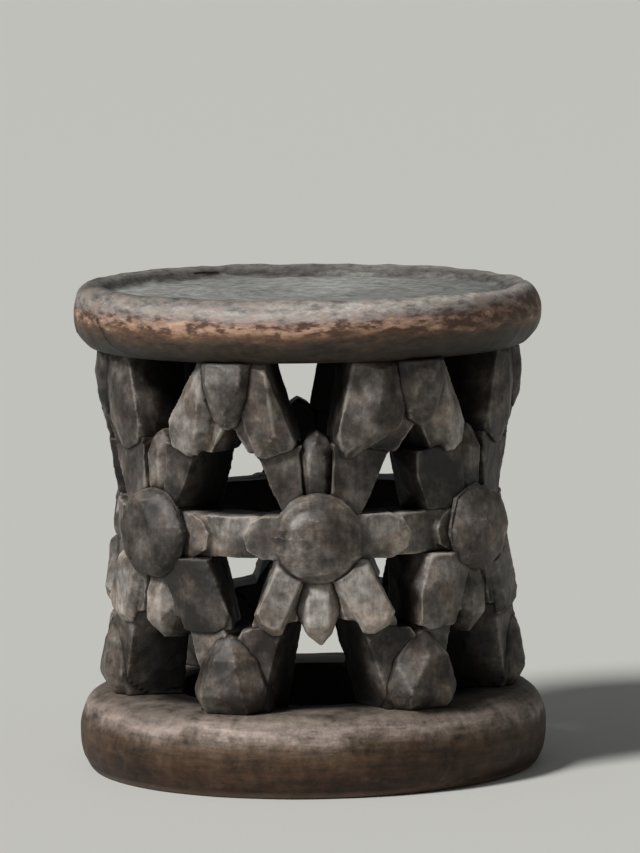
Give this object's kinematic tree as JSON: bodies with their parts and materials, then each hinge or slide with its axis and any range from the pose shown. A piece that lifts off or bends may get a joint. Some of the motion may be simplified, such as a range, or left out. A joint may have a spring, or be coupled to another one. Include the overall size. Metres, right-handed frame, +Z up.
{
  "type": "carved openwork stool",
  "caption": "Round dished stool with a hollow openwork drum of carved spiders between a rolled seat and a ring base.",
  "frame": {"origin": "centre of the footprint, on the floor", "axes": "+Z up; -Y is the front of the stool, with one spider just to the right of the middle; +X is to the right seen from the front"},
  "size_m": [0.36, 0.36, 0.374],
  "materials": {
    "seat_wood": "dark patina rubbed through to brown on the rim",
    "lattice_wood": "smoke-dark matt patina, greyer on worn ridges",
    "base_wood": "worn reddish brown with grey dust"
  },
  "bodies": {
    "root": {"base": "base_wood", "seat": "seat_wood", "spider_1_body": "lattice_wood", "spider_2_body": "lattice_wood", "spider_3_body": "lattice_wood", "spider_4_body": "lattice_wood", "spider_5_body": "lattice_wood", "spider_6_body": "lattice_wood", "spider_1_head": "lattice_wood", "spider_2_head": "lattice_wood", "spider_3_head": "lattice_wood", "spider_4_head": "lattice_wood", "spider_5_head": "lattice_wood", "spider_6_head": "lattice_wood", "spider_1_tail": "lattice_wood", "spider_2_tail": "lattice_wood", "spider_3_tail": "lattice_wood", "spider_4_tail": "lattice_wood", "spider_5_tail": "lattice_wood", "spider_6_tail": "lattice_wood", "spider_1_upper_legs": "lattice_wood", "spider_2_upper_legs": "lattice_wood", "spider_3_upper_legs": "lattice_wood", "spider_4_upper_legs": "lattice_wood", "spider_5_upper_legs": "lattice_wood", "spider_6_upper_legs": "lattice_wood", "spider_1_lower_legs": "lattice_wood", "spider_2_lower_legs": "lattice_wood", "spider_3_lower_legs": "lattice_wood", "spider_4_lower_legs": "lattice_wood", "spider_5_lower_legs": "lattice_wood", "spider_6_lower_legs": "lattice_wood", "ring_bar_1": "lattice_wood", "ring_bar_2": "lattice_wood", "ring_bar_3": "lattice_wood", "ring_bar_4": "lattice_wood", "ring_bar_5": "lattice_wood", "ring_bar_6": "lattice_wood", "seat_half_spider_1": "lattice_wood", "seat_half_spider_2": "lattice_wood", "seat_half_spider_3": "lattice_wood", "seat_half_spider_4": "lattice_wood", "seat_half_spider_5": "lattice_wood", "seat_half_spider_6": "lattice_wood", "foot_half_spider_1": "lattice_wood", "foot_half_spider_2": "lattice_wood", "foot_half_spider_3": "lattice_wood", "foot_half_spider_4": "lattice_wood", "foot_half_spider_5": "lattice_wood", "foot_half_spider_6": "lattice_wood"}
  },
  "joints": []
}
